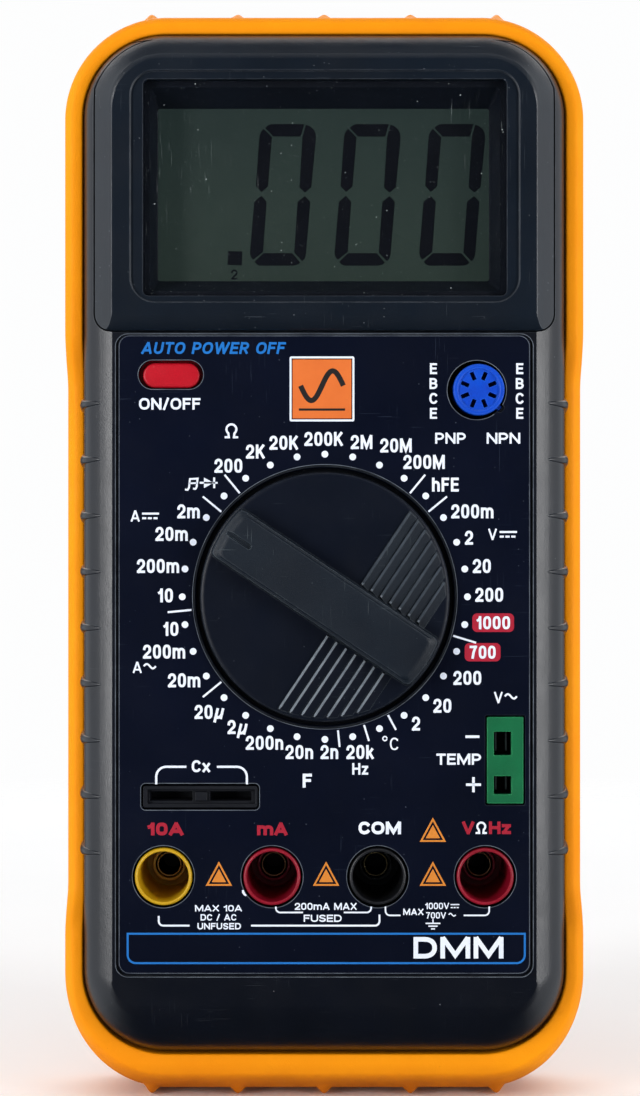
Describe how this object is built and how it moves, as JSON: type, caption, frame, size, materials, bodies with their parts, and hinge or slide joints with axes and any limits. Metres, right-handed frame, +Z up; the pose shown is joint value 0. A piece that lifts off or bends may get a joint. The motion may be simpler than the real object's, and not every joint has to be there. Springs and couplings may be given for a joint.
{
  "type": "multimeter",
  "caption": "Handheld digital multimeter with a rotary range switch, liquid crystal display, test lead jacks and a rubber holster with fold-out stands.",
  "frame": {"origin": "centre of the bounding box at the level of the foot ribs that the holster stands on", "axes": "+Z up along the meter's length, from the foot ribs to the display end; the face looks along -Y; +X is to the right as the face is seen"},
  "size_m": [0.0968, 0.0444, 0.2031],
  "materials": {
    "holster_rubber": "matte soft-touch thermoplastic rubber",
    "case_plastic": "fine textured ABS",
    "bezel_plastic": "fine satin ABS",
    "label_print": "printed satin film",
    "window_clear": "clear polished acrylic",
    "lcd_glass": "grey-green liquid crystal, segments dark",
    "knob_plastic": "satin ABS, frosted bar",
    "button_red": "satin ABS",
    "socket_blue": "satin nylon",
    "socket_green": "satin nylon",
    "jack_yellow": "satin ABS",
    "jack_red": "satin ABS",
    "jack_black": "satin ABS",
    "brass_contact": "turned or stamped brass",
    "steel_hardware": "zinc plated",
    "pcb_laminate": "solder resist on glass-epoxy",
    "chip_plastic": "moulded black",
    "inner_black": "matte moulded black",
    "zebra_rubber": "striped silicone",
    "carrier_nylon": "natural nylon",
    "trimmer_blue": "moulded",
    "buzzer_disc": "plain",
    "copper_wire": "tinned copper alloy",
    "fuse_tube_glass": "clear",
    "battery_jacket": null,
    "lead_red": "PVC insulation",
    "lead_black": "PVC insulation",
    "stand_plastic": "textured ABS"
  },
  "bodies": {
    "meter": {"rear_case": "case_plastic", "front_case": "case_plastic", "display_bezel": "bezel_plastic", "lcd_window": "window_clear", "lcd_frame": "inner_black", "lcd_panel": "lcd_glass", "zebra_strip": "zebra_rubber", "panel_overlay": "label_print", "power_switch_body": "inner_black", "hfe_socket": "socket_blue", "temp_socket": "socket_green", "cx_socket": "inner_black", "jack_sleeve_10a": "jack_yellow", "jack_sleeve_ma": "jack_red", "jack_sleeve_com": "jack_black", "jack_sleeve_vohm": "jack_red", "jack_contact_10a": "brass_contact", "jack_contact_ma": "brass_contact", "jack_contact_com": "brass_contact", "jack_contact_vohm": "brass_contact", "main_pcb": "pcb_laminate", "pcb_screw_1": "steel_hardware", "pcb_screw_2": "steel_hardware", "pcb_screw_3": "steel_hardware", "case_screw_1": "steel_hardware", "case_screw_2": "steel_hardware", "case_screw_3": "steel_hardware", "adc_chip": "chip_plastic", "opamp_chip": "chip_plastic", "trimmer": "trimmer_blue", "buzzer": "buzzer_disc", "shunt_wire": "copper_wire", "fuse_glass": "fuse_tube_glass", "fuse_cap_1": "steel_hardware", "fuse_cap_2": "steel_hardware", "fuse_clip_1": "brass_contact", "fuse_clip_2": "brass_contact", "battery_9v": "battery_jacket", "battery_snap": "inner_black", "battery_lead_red": "lead_red", "battery_lead_black": "lead_black", "holster": "holster_rubber"},
    "knob": {"selector_knob": "knob_plastic", "wiper_carrier": "carrier_nylon", "detent_ball_1": "steel_hardware", "detent_ball_2": "steel_hardware", "detent_spring_1": "steel_hardware", "detent_spring_2": "steel_hardware", "wiper_contact_1": "brass_contact", "wiper_contact_2": "brass_contact", "wiper_contact_3": "brass_contact"},
    "button": {"power_button": "button_red", "power_switch_plunger": "carrier_nylon"},
    "large_stand": {"large_stand": "stand_plastic"},
    "small_stand": {"small_stand": "stand_plastic"}
  },
  "joints": [
    {"name": "knob_turn", "type": "hinge", "parent": "meter", "child": "knob", "pos_m": [0.0001, -0.01515, 0.0939], "axis": [0, -1, 0], "continuous": true},
    {"name": "power_press", "type": "slide", "parent": "meter", "child": "button", "axis": [0, 1, 0], "range_m": [0, 0.0025], "stiffness_N_per_m": 400, "springref_m": -0.002},
    {"name": "large_stand_fold", "type": "hinge", "parent": "meter", "child": "large_stand", "pos_m": [0, 0.01915, 0.1535], "axis": [1, 0, 0], "range_deg": [0, 60]},
    {"name": "small_stand_fold", "type": "hinge", "parent": "large_stand", "child": "small_stand", "pos_m": [0, 0.01845, 0.1275], "axis": [1, 0, 0], "range_deg": [0, 60]}
  ]
}
